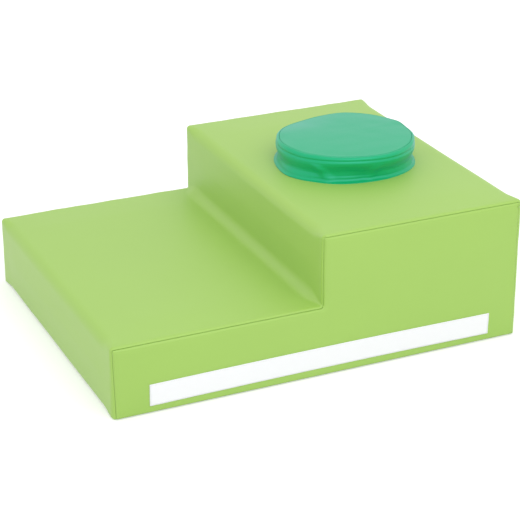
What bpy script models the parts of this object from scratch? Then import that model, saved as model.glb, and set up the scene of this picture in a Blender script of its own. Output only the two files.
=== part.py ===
"""A two-level soft play foam climber with a round cushion, in metres with +Z up.

Two glued foam blocks make the low tread and the high platform. A sewn cover of coated fabric goes
round them: one wrap panel from the low end over the tread, riser and top to the far end, an L-shaped
panel on the front and the back, and a non-slip base. A zip low on the back lets the foam out, a
hook-and-loop strip low on the front holds a neighbouring element, and a round cushion is sewn on top.
"""

from math import cos, pi, radians, sin

import bmesh
import bpy
from mathutils import Matrix, Vector

# Foam block, between the corners where its covered faces meet
body_length = 0.900
body_depth = 0.710
tread_length = 0.446
tread_height = 0.153
platform_height = 0.304

# Gap kept between pieces that touch, and how far a cutter runs past what it cuts
touch_gap = 0.0003
weld_distance = 0.00001
cut_overrun = 0.010

# Cover: coated fabric, and how it goes round the foam
cover_thickness = 0.0012
seam_rounding = 0.012
turned_edge_extra = 0.004
inner_corner_radius = 0.014
face_swell = 0.0015
swell_reach = 0.060
turn_under = 0.006
seam_angle = radians(45)
sharp_edge_angle = radians(40)
seam_steps = 3
corner_steps = 4

# Hook-and-loop strip on the front
strip_height = 0.047
strip_thickness = 0.0016
strip_above_floor = 0.0190
strip_from_low_end = 0.0745
strip_from_far_end = 0.0700
strip_corner_radius = 0.0015

# Round cushion on the platform
cushion_seam_radius = 0.1463
cushion_height = 0.0560
cushion_crown = 0.0070
cushion_rim_bulge = 0.0032
cushion_waist_depth = 0.0008
cushion_foot_radius = 0.1545
cushion_foot_height = 0.0080
cushion_lip_width = 0.0020
cushion_setback = 0.0040
cushion_foam_clearance = 0.0010
round_steps = 40

# Zip on the back: the chain of teeth, its tapes and its stops
zip_height = 0.042
zip_end_margin = 0.130
tooth_pitch = 0.0050
tooth_length = 0.0024
tooth_thickness = 0.0024
tooth_root_width = 0.0032
tooth_tip_width = 0.0022
tooth_spine = 0.0012
row_spacing = 0.0014
tape_width = 0.0110
tape_thickness = 0.0006
tape_tail = 0.0150
zip_slot_margin = 0.0010
stop_length = 0.0030
foam_hollow_clearance = 0.0010

# Zip slider and its pull
slider_length = 0.0120
slider_plate = 0.0012
slider_wall = 0.0010
slider_shoulder = 0.0009
slider_clearance = 0.0003
slider_post_length = 0.0024
bridge_wire_radius = 0.0007
bridge_length = 0.0080
bridge_inner_height = 0.0022
bridge_steps = 10
pull_length = 0.0240
pull_width = 0.0075
pull_thickness = 0.0012
pull_bar_width = 0.0012
pull_window_length = 0.0058
pull_window_width = 0.0044
round_end_steps = 8

# Shares along a form, chosen by eye: of a run's eased end, the crown's radius, the cushion's side
# from its top seam down, the part of that side which its full rim takes, and half the slider's length
seam_edge_share = 0.92
rise_shares = (0.33, 0.66, 1.0)
crown_shares = (0, 0.25, 0.5, 0.7, 0.85, 0.95, 1)
band_shares = (0, 0.07, 0.14, 0.21, 0.28, 0.36, 0.65, 1)
cushion_rim_share = 0.34
slider_length_shares = (-1.0, -0.84, 0.0, 0.5, 0.84, 1.0)

# Depths and reaches that follow from the sizes above
half_depth = body_depth / 2
turned_edge_radius = seam_rounding + turned_edge_extra
foam_depth = cover_thickness + touch_gap
tape_depth = cover_thickness + touch_gap + tape_thickness / 2
plate_height = tooth_thickness / 2 + slider_clearance
plate_top = plate_height + slider_plate
pull_axis_height = plate_top + bridge_inner_height / 2
bridge_height = bridge_inner_height + 2 * bridge_wire_radius
front_reach = touch_gap + strip_thickness
back_reach = plate_top + bridge_height - tape_depth

# The origin is on the floor under the middle of everything, from the strip to the slider's bridge
front_y = -half_depth - (back_reach - front_reach) / 2
back_y = front_y + body_depth
middle_y = (front_y + back_y) / 2
low_x = -body_length / 2
riser_x = low_x + tread_length
far_x = low_x + body_length

strip_length = body_length - strip_from_low_end - strip_from_far_end

# Zip places, measured from the middle of the closed chain
chain_length = body_length - 2 * zip_end_margin
chain_half = chain_length / 2
tape_half_length = chain_half + tape_tail
row_root = row_spacing / 2 + tooth_length
row_outer = row_root + tooth_spine
tape_outer = row_outer + touch_gap + tape_width
channel_half = row_outer + slider_clearance
slider_half_width = channel_half + slider_wall + slider_shoulder
slot_half_height = slider_half_width + zip_slot_margin
tape_y = back_y - tape_depth
slider_place = Vector((chain_half - slider_length / 2, tape_y, zip_height))

# Cushion places, measured from its seat on the platform
cushion_seat = platform_height + face_swell + touch_gap
foot_start_radius = cushion_foot_radius - cushion_lip_width - cushion_foot_height + cover_thickness

for leftover in list(bpy.data.objects):
    bpy.data.objects.remove(leftover)

parts = bpy.data.collections.new("soft_play_climber")
cutters = bpy.data.collections.new("cutters")
bpy.context.scene.collection.children.link(parts)
bpy.context.scene.collection.children.link(cutters)


def material(name, color, roughness, metallic=0.0):
    """A Principled material of one linear colour."""
    made = bpy.data.materials.new(name)
    made.use_nodes = True
    shader = made.node_tree.nodes["Principled BSDF"]
    shader.inputs["Base Color"].default_value = (*color, 1.0)
    shader.inputs["Roughness"].default_value = roughness
    shader.inputs["Metallic"].default_value = metallic
    return made


lime_vinyl = material("lime_vinyl", (0.27, 0.55, 0.055), 0.40)
teal_vinyl = material("teal_vinyl", (0.01, 0.38, 0.13), 0.40)
base_fabric = material("non_slip_fabric", (0.06, 0.06, 0.065), 0.85)
foam_core = material("polyurethane_foam", (0.78, 0.74, 0.60), 0.95)
loop_tape = material("white_loop_tape", (0.90, 0.90, 0.92), 0.90)
zip_fabric = material("zip_tape", (0.16, 0.38, 0.04), 0.85)
zip_plastic = material("zip_teeth_plastic", (0.13, 0.34, 0.03), 0.45)
zip_metal = material("zip_slider_metal", (0.55, 0.55, 0.56), 0.35, 1.0)


def placed(name, mesh, finish, collection=parts):
    """Puts a mesh in the scene as a named sub-part with its material."""
    item = bpy.data.objects.new(name, mesh)
    collection.objects.link(item)
    item.data.materials.append(finish)
    return item


def from_bmesh(name, bm, finish, collection=parts):
    """Turns a bmesh into a sub-part, shaded smooth over its shallow angles."""
    mesh = bpy.data.meshes.new(name)
    bm.to_mesh(mesh)
    bm.free()
    mesh.shade_smooth()
    mesh.set_sharp_from_angle(angle=sharp_edge_angle)
    return placed(name, mesh, finish, collection)


def box(name, low, high, finish, collection=parts):
    """A cube primitive stretched between two corners."""
    bm = bmesh.new()
    bmesh.ops.create_cube(bm, size=1)
    size = Vector(high) - Vector(low)
    bmesh.ops.scale(bm, vec=size, verts=bm.verts)
    bmesh.ops.translate(bm, vec=Vector(low) + size / 2, verts=bm.verts)
    return from_bmesh(name, bm, finish, collection)


def hidden_tool(item):
    """Keeps a cutter or a joined piece out of the render and draws it as a wire."""
    item.hide_render = True
    item.display_type = "WIRE"
    return item


def combine(item, tool, operation):
    """Adds an exact Boolean of one hidden tool."""
    modifier = item.modifiers.new(tool.name, "BOOLEAN")
    modifier.operation = operation
    modifier.solver = "EXACT"
    modifier.object = hidden_tool(tool)


def thicken(item, thickness):
    """Gives an open sheet its thickness, inwards from its outer face."""
    modifier = item.modifiers.new("cover_thickness", "SOLIDIFY")
    modifier.thickness = thickness
    modifier.offset = -1
    modifier.use_even_offset = True


# The side outline of the climber, walked clockwise as the front shows it from the low end's foot.
# A station is a point of the outline with the direction that faces out of the foam there.


def corner_stations(corner, coming, going, sharp_inside):
    """Stations round one corner of the outline. The cover rounds the inner corner under the riser,
    and the foam, which is sharp there, has a plain mitre between the ends of that round."""
    out_before = Vector((-coming[1], coming[0]))
    out_after = Vector((-going[1], going[0]))
    turns_right = coming[0] * going[1] - coming[1] * going[0] < 0
    side = 1 if turns_right else -1
    radius = turned_edge_radius if turns_right else inner_corner_radius
    centre = corner + radius * (going - coming)
    stations = []
    for step in range(corner_steps + 1):
        angle = step / corner_steps * pi / 2
        facing = out_before * cos(angle) + out_after * sin(angle)
        stations.append((centre + side * radius * facing, facing))
    if sharp_inside and not turns_right:
        return [stations[0], (corner, out_before + out_after), stations[-1]]
    return stations


def run_stations(start, end):
    """Stations along a straight run: the cover swells a little between its corners."""
    along = (end - start).normalized()
    facing = Vector((-along[1], along[0]))
    run = (end - start).length
    reach = min(swell_reach, run / 3)
    stations = []
    for share in rise_shares:
        rise = face_swell * share * share * (3 - 2 * share)
        stations.append((start + along * reach * share + facing * rise, facing))
    for share in reversed(rise_shares):
        rise = face_swell * share * share * (3 - 2 * share)
        stations.append((end - along * reach * share + facing * rise, facing))
    return stations


def side_outline(sharp_inside):
    """The closed outline, from the turned-under edge at the low end round to the one at the far end."""
    corners = [
        Vector((low_x, 0)),
        Vector((low_x, tread_height)),
        Vector((riser_x, tread_height)),
        Vector((riser_x, platform_height)),
        Vector((far_x, platform_height)),
        Vector((far_x, 0)),
    ]
    rounds = []
    for index, corner in enumerate(corners):
        before = corners[index - 1]
        after = corners[(index + 1) % len(corners)]
        coming = (corner - before).normalized()
        going = (after - corner).normalized()
        rounds.append(corner_stations(corner, coming, going, sharp_inside))
    floor_facing = Vector((0, -1))
    under = turned_edge_radius + turn_under
    outline = [(Vector((low_x + under, 0)), floor_facing)]
    for index, stations in enumerate(rounds):
        outline += stations
        if index + 1 < len(rounds):
            outline += run_stations(stations[-1][0], rounds[index + 1][0][0])
    outline.append((Vector((far_x - under, 0)), floor_facing))
    return outline


def ring(stations, angle, buried, side):
    """The stations where the rounding of a front or back seam has turned through an angle.

    At no angle the ring lies on the faces, and at a right angle it lies in the front or back plane.
    Buried is its depth below the cover's outer face, and side is -1 for the front, 1 for the back."""
    rounding = seam_rounding - buried
    inset = buried + rounding * (1 - cos(angle))
    y = middle_y + side * (half_depth - seam_rounding + rounding * sin(angle))
    return [Vector((p[0] - n[0] * inset, y, p[1] - n[1] * inset)) for p, n in stations]


def join_rows(bm, rows, closed):
    """Quads between neighbouring rows of points, and the rows of vertices they use."""
    grid = [[bm.verts.new(point) for point in row] for row in rows]
    for row, following in zip(grid, grid[1:]):
        count = len(row) if closed else len(row) - 1
        for index in range(count):
            ahead = (index + 1) % len(row)
            bm.faces.new((row[index], row[ahead], following[ahead], following[index]))
    return grid


def angles_to_seam(away, edge):
    """Angles of a panel's rows across the rounding, with a narrow last step beside the seam."""
    shares = [step / seam_steps for step in range(seam_steps)] + [seam_edge_share, 1]
    return [away + (edge - away) * share for share in shares]


half_gap_angle = touch_gap / 2 / seam_rounding
face_angles = angles_to_seam(0, seam_angle - half_gap_angle)
side_angles = angles_to_seam(pi / 2, seam_angle + half_gap_angle)
foam_angles = (pi / 2, pi / 3, pi / 6, 0)


def across(stations, angles, buried):
    """Rings from the front seam across the faces to the back seam."""
    front = [ring(stations, angle, buried, -1) for angle in angles]
    back = [ring(stations, angle, buried, 1) for angle in reversed(angles)]
    return front + back


def face_panel(name, stations, finish):
    """A cover panel that runs across the faces, from the front seam to the back seam."""
    bm = bmesh.new()
    join_rows(bm, across(stations, face_angles[::-1], 0), closed=False)
    thicken(from_bmesh(name, bm, finish), cover_thickness)


def side_panel(name, stations, side, finish):
    """The L-shaped front or back panel, whose rim turns round to its seam."""
    bm = bmesh.new()
    rows = [ring(stations, angle, 0, side) for angle in side_angles]
    grid = join_rows(bm, rows, closed=True)
    bm.faces.new(reversed(grid[0]))
    if side > 0:
        bmesh.ops.reverse_faces(bm, faces=bm.faces)
    panel = from_bmesh(name, bm, finish)
    thicken(panel, cover_thickness)
    return panel


def foam_body(name, stations):
    """The whole foam shape under the cover, before it is cut into its two blocks."""
    bm = bmesh.new()
    grid = join_rows(bm, across(stations, foam_angles, foam_depth), closed=True)
    bm.faces.new(reversed(grid[0]))
    bm.faces.new(grid[-1])
    bmesh.ops.recalc_face_normals(bm, faces=bm.faces)
    return from_bmesh(name, bm, foam_core)


def build_cover():
    """The four panels of the cover and the strip on the front one."""
    outline = side_outline(sharp_inside=False)
    face_panel("cover_wrap_panel", outline, lime_vinyl)
    floor_facing = Vector((0, -1))
    base_end = turned_edge_radius + turn_under + touch_gap
    base = [
        (Vector((far_x - base_end, 0)), floor_facing),
        (Vector((low_x + base_end, 0)), floor_facing),
    ]
    face_panel("cover_base_panel", base, base_fabric)
    side_panel("cover_front_panel", outline, -1, lime_vinyl)
    back = side_panel("cover_back_panel", outline, 1, lime_vinyl)
    slot_end = chain_half + touch_gap + stop_length + zip_slot_margin
    slot_low = (-slot_end, back_y - cut_overrun, zip_height - slot_half_height)
    slot_high = (slot_end, back_y + cut_overrun, zip_height + slot_half_height)
    combine(back, box("zip_slot", slot_low, slot_high, lime_vinyl, cutters), "DIFFERENCE")


def build_foam():
    """The base slab and the upper block glued on it."""
    outline = side_outline(sharp_inside=True)
    glue_height = tread_height - foam_depth
    cut_x = riser_x - face_swell
    slab = foam_body("foam_base_slab", outline)
    above_low = (cut_x, front_y - cut_overrun, glue_height - touch_gap / 2)
    above_high = (far_x + cut_overrun, back_y + cut_overrun, platform_height + cut_overrun)
    combine(slab, box("above_slab", above_low, above_high, foam_core, cutters), "DIFFERENCE")
    hollow_low = (
        -tape_half_length - foam_hollow_clearance,
        tape_y - plate_top - foam_hollow_clearance,
        zip_height - tape_outer - foam_hollow_clearance,
    )
    hollow_high = (
        tape_half_length + foam_hollow_clearance,
        back_y + cut_overrun,
        zip_height + tape_outer + foam_hollow_clearance,
    )
    combine(slab, box("zip_hollow", hollow_low, hollow_high, foam_core, cutters), "DIFFERENCE")
    block = foam_body("foam_upper_block", outline)
    block_low = (cut_x, front_y - cut_overrun, glue_height + touch_gap / 2)
    block_high = (far_x + cut_overrun, back_y + cut_overrun, platform_height + cut_overrun)
    combine(block, box("block_space", block_low, block_high, foam_core, cutters), "INTERSECT")


def flat_mesh(name, outlines, thickness):
    """A mesh from flat outlines in X and Z, the later ones being holes, with its thickness along Y."""
    curve = bpy.data.curves.new(name, "CURVE")
    curve.dimensions = "2D"
    curve.fill_mode = "BOTH"
    curve.extrude = thickness / 2
    for outline in outlines:
        spline = curve.splines.new("POLY")
        spline.points.add(len(outline) - 1)
        for point, (x, z) in zip(spline.points, outline):
            point.co = (x, z, 0, 1)
        spline.use_cyclic_u = True
    return welded_mesh(name, curve, Matrix.Rotation(pi / 2, 4, "X"))


def welded_mesh(name, curve, turn):
    """Makes a curve a closed mesh: its caps are welded on, and it is turned to its place."""
    drawn = bpy.data.objects.new(name, curve)
    bpy.context.scene.collection.objects.link(drawn)
    bpy.context.view_layer.update()
    evaluated = drawn.evaluated_get(bpy.context.evaluated_depsgraph_get())
    mesh = bpy.data.meshes.new_from_object(evaluated)
    bpy.data.objects.remove(drawn)
    bm = bmesh.new()
    bm.from_mesh(mesh)
    bmesh.ops.remove_doubles(bm, verts=bm.verts, dist=weld_distance)
    bmesh.ops.recalc_face_normals(bm, faces=bm.faces)
    bmesh.ops.transform(bm, matrix=turn, verts=bm.verts)
    bm.to_mesh(mesh)
    bm.free()
    mesh.name = name
    mesh.materials.clear()
    return mesh


def rounded_rectangle(length, height, radius):
    """The outline of a rectangle about the origin with round corners."""
    quarter = round_end_steps // 2
    corners = ((1, 1, 0), (-1, 1, pi / 2), (-1, -1, pi), (1, -1, 3 * pi / 2))
    outline = []
    for across_side, up_side, start in corners:
        for step in range(quarter + 1):
            angle = start + step / quarter * pi / 2
            x = across_side * (length / 2 - radius) + radius * cos(angle)
            outline.append((x, up_side * (height / 2 - radius) + radius * sin(angle)))
    return outline


def build_strip():
    """The hook-and-loop strip sewn low on the front panel."""
    outline = rounded_rectangle(strip_length, strip_height, strip_corner_radius)
    strip = placed("front_loop_strip", flat_mesh("strip", [outline], strip_thickness), loop_tape)
    strip.location = (
        low_x + strip_from_low_end + strip_length / 2,
        front_y - touch_gap - strip_thickness / 2,
        strip_above_floor + strip_height / 2,
    )


def tooth_row(name, side, shift):
    """One row of teeth on its spine: side is 1 above the middle of the chain and -1 below it."""
    count = round(chain_length / tooth_pitch)
    tip = row_spacing / 2
    outline = [(-chain_half, row_root)]
    for index in range(count - 1):
        middle = -chain_half + (index + shift) * tooth_pitch
        outline.append((middle - tooth_root_width / 2, row_root))
        outline.append((middle - tooth_tip_width / 2, tip))
        outline.append((middle + tooth_tip_width / 2, tip))
        outline.append((middle + tooth_root_width / 2, row_root))
    outline += [(chain_half, row_root), (chain_half, row_outer), (-chain_half, row_outer)]
    outline = [(x, side * z) for x, z in outline]
    row = placed(name, flat_mesh(name, [outline], tooth_thickness), zip_plastic)
    row.location = (0, tape_y, zip_height)


def zip_box(name, low_end, high_end, inner, outer, thickness, finish):
    """A straight piece of the zip between two places along it and two heights off its middle."""
    low = (low_end, tape_y - thickness / 2, zip_height + inner)
    high = (high_end, tape_y + thickness / 2, zip_height + outer)
    box(name, low, high, finish)


def build_zip():
    """Tapes, teeth and stops. The chain is closed and its slider stands at the top stops."""
    tape_inner = row_outer + touch_gap
    stop_start = chain_half + touch_gap
    stop_end = stop_start + stop_length
    stop_thickness = 2 * plate_top
    tip = row_spacing / 2
    tape_low = -tape_half_length
    zip_box(
        "zip_upper_tape", tape_low, -tape_low, tape_inner, tape_outer, tape_thickness, zip_fabric
    )
    zip_box(
        "zip_lower_tape", tape_low, -tape_low, -tape_outer, -tape_inner, tape_thickness, zip_fabric
    )
    tooth_row("zip_upper_teeth", 1, 1)
    tooth_row("zip_lower_teeth", -1, 1 / 2)
    zip_box(
        "zip_upper_top_stop", stop_start, stop_end, tip, row_outer, stop_thickness, zip_plastic
    )
    zip_box(
        "zip_lower_top_stop", stop_start, stop_end, -row_outer, -tip, stop_thickness, zip_plastic
    )
    zip_box(
        "zip_bottom_stop", -stop_end, -stop_start, -row_outer, row_outer, stop_thickness, zip_plastic
    )


def build_slider():
    """The slider: one casting with a channel round its post, slots for the tapes, and a bridge."""
    half = slider_length / 2
    tail = channel_half + slider_wall
    nose = tail + slider_shoulder / 2
    widths = (tail - slider_wall, tail, tail, slider_half_width, slider_half_width, nose)
    upper = [(half * share, width) for share, width in zip(slider_length_shares, widths)]
    lower = [(x, -z) for x, z in reversed(upper)]
    slider = placed("zip_slider", flat_mesh("zip_slider", [upper + lower], 2 * plate_top), zip_metal)
    slider.location = slider_place
    past = half + cut_overrun
    channel = [
        (-past, -channel_half),
        (past, -channel_half),
        (past, channel_half),
        (-past, channel_half),
    ]
    post_middle = half - slider_wall - slider_post_length / 2
    post_half_width = row_spacing / 2 - slider_clearance
    post = [
        (post_middle - slider_post_length / 2, 0),
        (post_middle, post_half_width),
        (post_middle + slider_post_length / 2, 0),
        (post_middle, -post_half_width),
    ]
    channel_mesh = flat_mesh("row_channel", [channel, post], 2 * plate_height)
    channel_cutter = placed("row_channel", channel_mesh, zip_metal, cutters)
    channel_cutter.location = slider_place
    combine(slider, channel_cutter, "DIFFERENCE")
    wide = slider_half_width + cut_overrun
    tape_room = tape_thickness / 2 + slider_clearance
    into_channel = channel_half - slider_clearance
    for name, inner, outer in (
        ("upper_tape_slot", into_channel, wide),
        ("lower_tape_slot", -wide, -into_channel),
    ):
        slot = box(name, (-past, -tape_room, inner), (past, tape_room, outer), zip_metal, cutters)
        slot.location = slider_place
        combine(slider, slot, "DIFFERENCE")
    arch = bpy.data.curves.new("slider_bridge", "CURVE")
    arch.dimensions = "3D"
    arch.bevel_depth = bridge_wire_radius
    arch.bevel_resolution = 2
    arch.use_fill_caps = True
    spline = arch.splines.new("POLY")
    spline.points.add(bridge_steps)
    rise = bridge_inner_height + bridge_wire_radius
    for step, point in enumerate(spline.points):
        angle = pi * step / bridge_steps
        height = plate_top - slider_plate / 2 + (rise + slider_plate / 2) * sin(angle) ** 0.5
        point.co = (-cos(angle) * bridge_length / 2, height, 0, 1)
    bridge = placed("slider_bridge", welded_mesh("slider_bridge", arch, Matrix()), zip_metal, cutters)
    bridge.location = slider_place
    combine(slider, bridge, "UNION")


def build_pull():
    """The pull: a flat tab whose bar lies under the slider's bridge, laid along the closed chain."""
    half_width = pull_width / 2
    outline = [(pull_bar_width / 2, -half_width), (pull_bar_width / 2, half_width)]
    end_middle = half_width - pull_length
    for step in range(round_end_steps + 1):
        angle = pi / 2 + pi * step / round_end_steps
        outline.append((end_middle + half_width * cos(angle), half_width * sin(angle)))
    window_start = -pull_bar_width / 2
    window_end = window_start - pull_window_length
    window_half = pull_window_width / 2
    window = [
        (window_start, -window_half),
        (window_start, window_half),
        (window_end, window_half),
        (window_end, -window_half),
    ]
    pull = placed("zip_pull", flat_mesh("zip_pull", [outline, window], pull_thickness), zip_metal)
    pull.location = slider_place + Vector((0, pull_axis_height, 0))


def turned(name, profile, finish):
    """A turned piece: its profile of radius and height is swept round the cushion's upright axis."""
    bm = bmesh.new()
    points = [bm.verts.new((radius, 0, height)) for radius, height in profile]
    for start, end in zip(points, points[1:]):
        bm.edges.new((start, end))
    mesh = bpy.data.meshes.new(name)
    bm.to_mesh(mesh)
    bm.free()
    piece = placed(name, mesh, finish)
    piece.location = ((riser_x + far_x) / 2, middle_y + cushion_setback, cushion_seat)
    screw = piece.modifiers.new("turn", "SCREW")
    screw.steps = round_steps
    screw.render_steps = round_steps
    screw.use_merge_vertices = True
    screw.merge_threshold = weld_distance
    screw.use_smooth_shade = True
    return piece


def crown_height(radius):
    """Height of the cushion's domed top at a radius."""
    return cushion_height + cushion_crown * (1 - (radius / cushion_seam_radius) ** 2)


def side_radius(share):
    """Radius of the cushion's side, a share of the way from its top seam to its foot: a full rim
    under the seam, then a slightly drawn-in waist."""
    straight = cushion_seam_radius + (foot_start_radius - cushion_seam_radius) * share
    rim = cushion_rim_bulge * sin(pi * min(share / cushion_rim_share, 1))
    return straight + rim - cushion_waist_depth * sin(pi * share)


def build_cushion():
    """The round cushion: a foam disc, a domed top panel and a side band with a turned-out foot."""
    radii = [cushion_seam_radius * share for share in crown_shares]
    top = [(radius, crown_height(radius)) for radius in radii]
    thicken(turned("cushion_top_panel", top, teal_vinyl), cover_thickness)
    band_top = cushion_height - cover_thickness - touch_gap
    heights = [band_top + (cushion_foot_height - band_top) * share for share in band_shares]
    band = [(side_radius(share), height) for share, height in zip(band_shares, heights)]
    flare = cushion_foot_height - cover_thickness
    for step in range(1, corner_steps + 1):
        angle = step / corner_steps * pi / 2
        radius = foot_start_radius + flare * (1 - cos(angle))
        band.append((radius, cover_thickness + flare * (1 - sin(angle))))
    band.append((cushion_foot_radius, cover_thickness))
    thicken(turned("cushion_side_band", band, teal_vinyl), cover_thickness)
    inset = cover_thickness + cushion_foam_clearance
    rim_radius = cushion_seam_radius - inset
    core = []
    for share in crown_shares:
        radius = rim_radius * share
        core.append((radius, crown_height(radius) - cover_thickness - touch_gap))
    for share, height in zip(band_shares[1:], heights[1:]):
        core.append((side_radius(share) - inset, height))
    core += [(foot_start_radius - inset, 0), (0, 0)]
    turned("cushion_foam_disc", core, foam_core)


build_foam()
build_cover()
build_strip()
build_zip()
build_slider()
build_pull()
build_cushion()
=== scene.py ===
"""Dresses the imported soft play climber: sewn covers, cushion, strip, zip, light and camera, in metres."""

from math import ceil, cos, hypot, pi, radians, sin

import bmesh
import bpy
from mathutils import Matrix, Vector, kdtree, noise
from mathutils.geometry import delaunay_2d_cdt


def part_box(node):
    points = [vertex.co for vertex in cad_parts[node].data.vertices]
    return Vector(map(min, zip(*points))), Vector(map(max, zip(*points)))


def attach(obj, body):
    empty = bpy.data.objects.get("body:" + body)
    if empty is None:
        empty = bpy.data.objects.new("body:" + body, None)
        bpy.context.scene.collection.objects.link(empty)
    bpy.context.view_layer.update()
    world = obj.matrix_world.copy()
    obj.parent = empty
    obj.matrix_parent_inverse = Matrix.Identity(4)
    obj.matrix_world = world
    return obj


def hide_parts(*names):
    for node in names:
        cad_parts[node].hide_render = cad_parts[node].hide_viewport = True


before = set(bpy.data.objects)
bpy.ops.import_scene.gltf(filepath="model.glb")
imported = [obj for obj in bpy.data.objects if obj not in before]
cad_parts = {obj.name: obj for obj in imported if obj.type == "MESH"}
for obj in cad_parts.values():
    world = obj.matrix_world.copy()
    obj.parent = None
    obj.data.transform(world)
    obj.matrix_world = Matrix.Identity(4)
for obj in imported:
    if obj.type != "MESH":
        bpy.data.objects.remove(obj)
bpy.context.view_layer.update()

# Places of the climber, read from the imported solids
cover_swell = 0.0015
foam_depth = 0.0015
wrap_low, wrap_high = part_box("cover_wrap_panel")
front_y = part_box("cover_front_panel")[0].y
back_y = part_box("cover_back_panel")[1].y
low_x = wrap_low.x + cover_swell
far_x = wrap_high.x - cover_swell
platform_height = wrap_high.z - cover_swell
riser_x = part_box("foam_upper_block")[0].x - foam_depth + cover_swell
tread_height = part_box("foam_base_slab")[1].z + foam_depth - cover_swell
middle_y = (front_y + back_y) / 2
half_depth = (back_y - front_y) / 2

# Cover: how the coated fabric goes round the foam
cover_thickness = 0.0009
seam_rounding = 0.014
seam_turn = radians(45)
edge_radius_at_seam = 0.008
edge_radius_between = 0.021
inner_radius_at_seam = 0.002
inner_radius_between = 0.024
slack_reach = 0.060
settled_share = 0.25
settled_reach = 0.030
turn_under = 0.006
rim_radius = 0.0165
seam_gap = 0.0004
seam_roll = 0.0012
upright_roll_share = 0.45
seam_allowance = 0.0040
station_spacing = 0.009
corner_steps = 10
rounding_steps = 7
roll_steps = 4

# Filling of the flat part of a side panel: shares of the spacing that its points keep clear, how far
# apart points count as one, how squarely a flat face looks out, and how soon the relief fades to the slot
rim_clearance_share = 0.6
slot_clearance_share = 0.5
fill_tolerance = 1e-7
flat_facing = 0.9
slot_fade = 0.030

# Relief of the cover: how far each effect lifts it and how far that reaches
face_swell = 0.0028
swell_reach = 0.110
ridge_height = 0.0006
ridge_reach = 0.009
pucker_height = 0.0007
pucker_spacing = 0.034
pucker_reach = 0.030
wander_height = 0.0009
wander_spacing = 0.230
wander_start = Vector((3, 7, 1))
upright_facing = 0.7

# Skin of the coated fabric: its grain, its patches of tone, and its shine
grain_width = 0.0012
grain_randomness = 0.9
grain_relief = 0.10
crease_start = 0.25
crease_end = 0.75
crease_roughness = 0.06
island_smoothness = 0.02
patches_per_metre = 5.0
patch_tone = 0.955
vinyl_ior = 1.58
veil_spread = 0.36

# Finish of the woven, foamed, moulded and cast pieces
fuzz_spread = 0.6
weave_relief = 0.4
weave_smoothest = 0.08
weave_roughest = 0.06


def linear(code):
    """Turns an sRGB hex colour to linear values."""
    parts = [int(code[start : start + 2], 16) / 255 for start in (1, 3, 5)]
    return tuple(p / 12.92 if p <= 0.04045 else ((p + 0.055) / 1.055) ** 2.4 for p in parts)


def add(tree, kind, inputs=None, **settings):
    """Adds a node with its settings, its values and its links."""
    made = tree.nodes.new(kind)
    for name, value in settings.items():
        setattr(made, name, value)
    for name, value in (inputs or {}).items():
        socket = made.inputs[name]
        if isinstance(value, bpy.types.NodeSocket):
            tree.links.new(value, socket)
        else:
            socket.default_value = value
    return made


def begin_material(name, **values):
    """A material with an empty Principled shader, whose constant values are set on its own sockets."""
    made = bpy.data.materials.new(name)
    made.use_nodes = True
    tree = made.node_tree
    tree.nodes.clear()
    shader = add(tree, "ShaderNodeBsdfPrincipled")
    for socket, value in values.items():
        shader.inputs[socket.replace("_", " ")].default_value = value
    output = add(tree, "ShaderNodeOutputMaterial")
    tree.links.new(shader.outputs[0], output.inputs["Surface"])
    place = add(tree, "ShaderNodeTexCoord").outputs["Object"]
    return made, tree, shader, place


def coated_fabric(name, colour, rough, **skin):
    """Polyester knit coated with soft PVC, its skin embossed with a leather grain: an even satin
    colour, whose grain breaks up the shine and is a little smoother on its rounded islands. The
    matting agent in the skin scatters a pale veil at shallow angles, which the sheen stands for."""
    made, tree, shader, place = begin_material(name, IOR=vinyl_ior, **skin)
    islands = add(
        tree,
        "ShaderNodeTexVoronoi",
        {"Vector": place, "Scale": 1 / grain_width, "Randomness": grain_randomness},
        feature="SMOOTH_F1",
    ).outputs["Distance"]
    crease_range = {"From Min": crease_start, "From Max": crease_end, "To Min": 1.0, "To Max": 0.0}
    crease = add(tree, "ShaderNodeMapRange", {"Value": islands, **crease_range}).outputs["Result"]
    patch = add(
        tree,
        "ShaderNodeTexNoise",
        {"Vector": place, "Scale": patches_per_metre, "Detail": 3.0, "Roughness": 0.6},
    ).outputs["Fac"]
    deep = tuple(c * patch_tone for c in linear(colour))
    rough_range = {"To Min": rough + crease_roughness, "To Max": rough - island_smoothness}
    relief_range = {"Strength": grain_relief, "Distance": grain_width / 8}
    finish_shader(tree, shader, (patch, deep, linear(colour)), crease, rough_range, relief_range)
    return made


def finish_shader(tree, shader, tones, height, rough_range, relief_range):
    """Mixes two tones by a factor, and lets a height set the roughness and the fine relief. The mix's
    colour sockets go by number, as they share their names with its number sockets."""
    factor, first, second = tones
    tone = add(tree, "ShaderNodeMix", data_type="RGBA")
    tree.links.new(factor, tone.inputs[0])
    tone.inputs[6].default_value = (*first, 1)
    tone.inputs[7].default_value = (*second, 1)
    tree.links.new(tone.outputs[2], shader.inputs["Base Color"])
    gloss = add(tree, "ShaderNodeMapRange", {"Value": height, **rough_range}).outputs["Result"]
    tree.links.new(gloss, shader.inputs["Roughness"])
    bump = add(tree, "ShaderNodeBump", {"Height": height, **relief_range})
    tree.links.new(bump.outputs["Normal"], shader.inputs["Normal"])


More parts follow.
